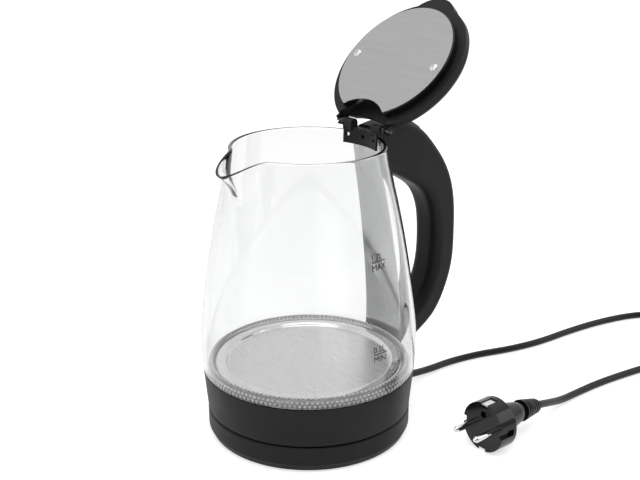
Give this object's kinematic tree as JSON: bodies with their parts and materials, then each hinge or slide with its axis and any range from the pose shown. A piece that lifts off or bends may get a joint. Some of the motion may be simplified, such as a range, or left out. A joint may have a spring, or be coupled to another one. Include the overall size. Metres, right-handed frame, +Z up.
{
  "type": "electric kettle",
  "caption": "Glass jug electric kettle with a hinged lid open, a black loop handle, a steel heating plate and a round power base with a mains cord and round-pin plug.",
  "frame": {"origin": "where the jug's vertical axis meets the surface that the power base stands on", "axes": "+Z up, spout towards -X, handle and lid hinge towards +X; stored with the lid standing open and the jug on its base"},
  "size_m": [0.4803, 0.2128, 0.3092],
  "materials": {
    "black_matte": "fine matte moulded plastic",
    "black_gloss": "glossy moulded plastic",
    "inner_plastic": "plain moulded plastic, inside",
    "black_rubber": "satin flexible sheath",
    "foot_rubber": "soft matte rubber",
    "clear_silicone": "clear ribbed silicone",
    "jug_glass": "clear heat-proof glass",
    "brushed_plate": "fine brushed stainless steel",
    "polished_steel": "polished",
    "screw_steel": "plated steel",
    "contact_brass": "bare contact metal",
    "cast_aluminium": "plain",
    "element_sheath": "dull sheath"
  },
  "bodies": {
    "power_base": {"power_base_shell": "black_matte", "power_base_plate": "black_matte", "base_feet": "foot_rubber", "base_plate_screws": "screw_steel", "base_connector_housing": "black_matte", "base_contacts": "contact_brass", "cord_strain_relief": "black_rubber", "cord_clamp": "black_matte", "cord_clamp_screws": "screw_steel", "base_wires": "contact_brass", "cord_run": "black_rubber", "plug_body": "black_gloss", "plug_pins": "polished_steel", "plug_earth_clips": "screw_steel", "plug_strain_relief": "black_rubber"},
    "kettle_connector": {"kettle_connector": "black_matte", "connector_pins": "contact_brass"},
    "jug": {"jug_base_band": "black_matte", "jug_bottom_cover": "black_matte", "bottom_cover_screws": "screw_steel", "heating_plate": "brushed_plate", "seal_ring": "clear_silicone", "plate_clamp_ring": "screw_steel", "clamp_ring_screws": "screw_steel", "heat_spreader": "cast_aluminium", "heating_element": "element_sheath", "control_body": "inner_plastic", "control_screws": "screw_steel", "bimetal_discs": "contact_brass", "element_leads": "contact_brass", "glass_jug": "jug_glass", "rear_strip": "polished_steel", "strip_backing": "inner_plastic", "handle_shell": "black_matte", "handle_cover": "black_matte", "handle_screws": "screw_steel", "steam_tube": "clear_silicone", "steam_thermostat": "inner_plastic", "rim_collar": "black_matte", "hinge_pins": "polished_steel", "lid_springs": "polished_steel", "switch_pivot_pin": "polished_steel", "button_spring": "polished_steel"},
    "lid": {"lid_cap": "black_matte", "lid_plug_ring": "black_gloss", "lid_steel_plate": "brushed_plate", "lid_screws": "screw_steel"},
    "button": {"lid_button": "black_gloss"},
    "latch": {"lid_latch": "inner_plastic"},
    "switch": {"switch_lever": "inner_plastic"},
    "trip": {"trip_rod": "inner_plastic"}
  },
  "joints": [
    {"name": "lift_off", "type": "slide", "parent": "power_base", "child": "kettle_connector", "axis": [0, 0, 1], "range_m": [0, 0.15]},
    {"name": "swivel", "type": "hinge", "parent": "kettle_connector", "child": "jug", "pos_m": [0, 0, 0.0246], "axis": [0, 0, 1], "continuous": true},
    {"name": "lid_hinge", "type": "hinge", "parent": "jug", "child": "lid", "pos_m": [0.052, 0, 0.224], "axis": [0, 1, 0], "range_deg": [-134.3, 0]},
    {"name": "button_press", "type": "slide", "parent": "jug", "child": "button", "axis": [0, 0, -1], "range_m": [0, 0.003], "stiffness_N_per_m": 500, "springref_m": -0.003, "deforming": ["button_spring"]},
    {"name": "latch_draw", "type": "slide", "parent": "jug", "child": "latch", "axis": [1, 0, 0], "range_m": [0, 0.002]},
    {"name": "switch_rock", "type": "hinge", "parent": "jug", "child": "switch", "pos_m": [0.07, 0, 0.0286], "axis": [0, 1, 0], "range_deg": [0, 14]},
    {"name": "trip_push", "type": "slide", "parent": "jug", "child": "trip", "axis": [1, 0, 0], "range_m": [0, 0.0008]}
  ],
  "couplings": [
    {"joint": "latch_draw", "follows": "button_press", "ratio": 0.66},
    {"joint": "trip_push", "follows": "switch_rock", "m_per_rad": 0.003}
  ]
}
